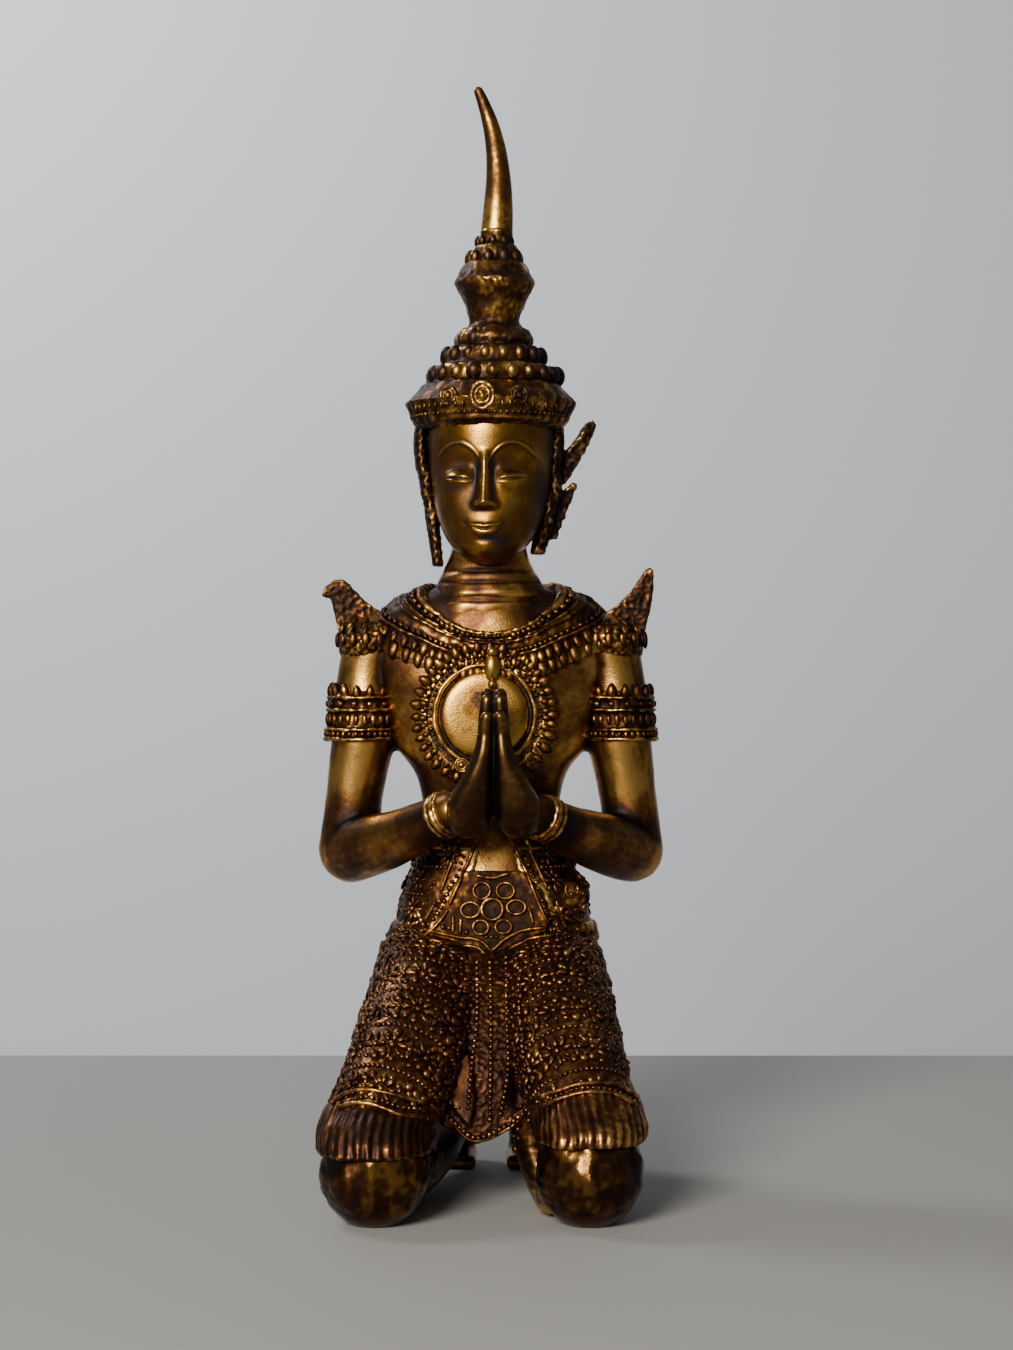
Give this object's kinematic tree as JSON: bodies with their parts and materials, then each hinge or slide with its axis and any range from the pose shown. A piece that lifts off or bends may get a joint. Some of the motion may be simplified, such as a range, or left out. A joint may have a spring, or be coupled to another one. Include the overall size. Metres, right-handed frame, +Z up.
{
  "type": "kneeling worshipper statue",
  "caption": "Kneeling crowned worshipper with palms pressed together, slim arms, tall horned crown, shoulder flames and a beaded cloth, cast in one and resting on knees and toes.",
  "frame": {"origin": "on the ground, under the middle of the figure's bounding box", "axes": "+Z up from the ground to the tip of the crown's horn, -Y the way the figure faces, +X the viewer's right as the figure faces the viewer"},
  "size_m": [0.0948, 0.1066, 0.3001],
  "materials": {
    "worn_gilt_bronze": "bronze with worn gold leaf over red-brown lacquer"
  },
  "bodies": {
    "root": {"kneeling_figure": "worn_gilt_bronze"}
  },
  "joints": []
}
